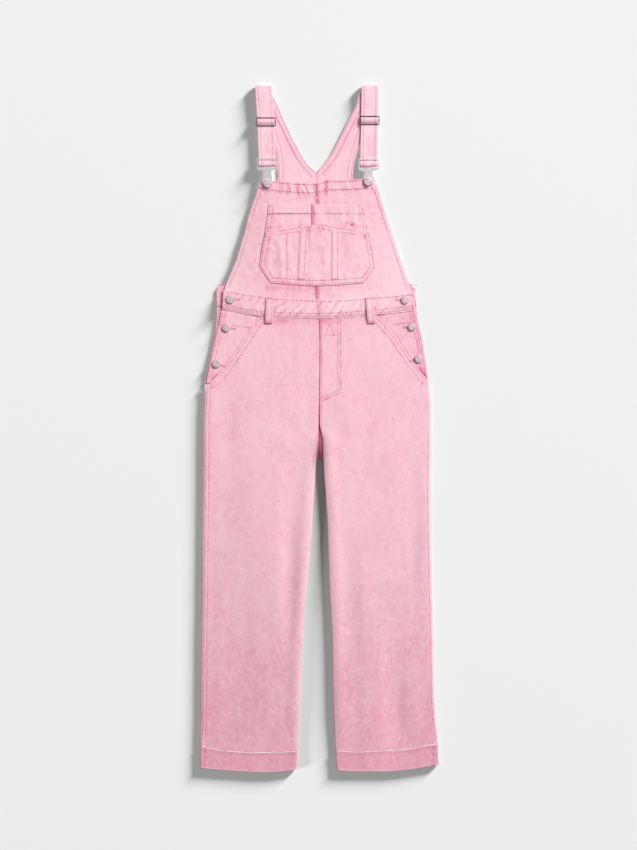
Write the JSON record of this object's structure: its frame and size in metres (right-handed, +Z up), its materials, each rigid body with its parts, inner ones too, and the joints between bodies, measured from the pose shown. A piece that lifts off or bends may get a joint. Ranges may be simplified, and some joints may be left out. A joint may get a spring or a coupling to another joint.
{
  "type": "denim overalls",
  "caption": "Pink washed denim bib overalls laid flat on their back, with straight legs, hem bands, a split bib pocket, adjustable straps on metal hooks and buttoned sides.",
  "frame": {"origin": "centre of the bounding box on the floor the garment lies on", "axes": "+Z up from the floor through the garment's front, +Y from the hems to the straps, +X to the wearer's left"},
  "size_m": [0.5014, 1.4443, 0.013],
  "materials": {
    "denim": "washed twill, matt",
    "hardware": "satin silver"
  },
  "bodies": {
    "root": {"front_leg_right": "denim", "front_leg_left": "denim", "back_leg_right": "denim", "back_leg_left": "denim", "hem_band_right": "denim", "hem_band_left": "denim", "pocket_facing_right": "denim", "pocket_facing_left": "denim", "front_waistband_right": "denim", "front_waistband_left": "denim", "back_waistband": "denim", "front_bib_right": "denim", "front_bib_left": "denim", "pocket_top_right": "denim", "pocket_top_left": "denim", "pocket_patch": "denim", "pocket_strip_right": "denim", "pocket_strip_left": "denim", "belt_loop_right": "denim", "belt_loop_left": "denim", "back_bib_right": "denim", "back_bib_left": "denim", "front_strap_right": "denim", "front_strap_left": "denim", "slider_right": "hardware", "slider_left": "hardware", "hook_right": "hardware", "hook_left": "hardware", "bib_button_right": "hardware", "bib_button_left": "hardware", "side_button_right_1": "hardware", "side_button_right_2": "hardware", "side_button_right_3": "hardware", "side_button_left_1": "hardware", "side_button_left_2": "hardware", "side_button_left_3": "hardware"}
  },
  "joints": []
}
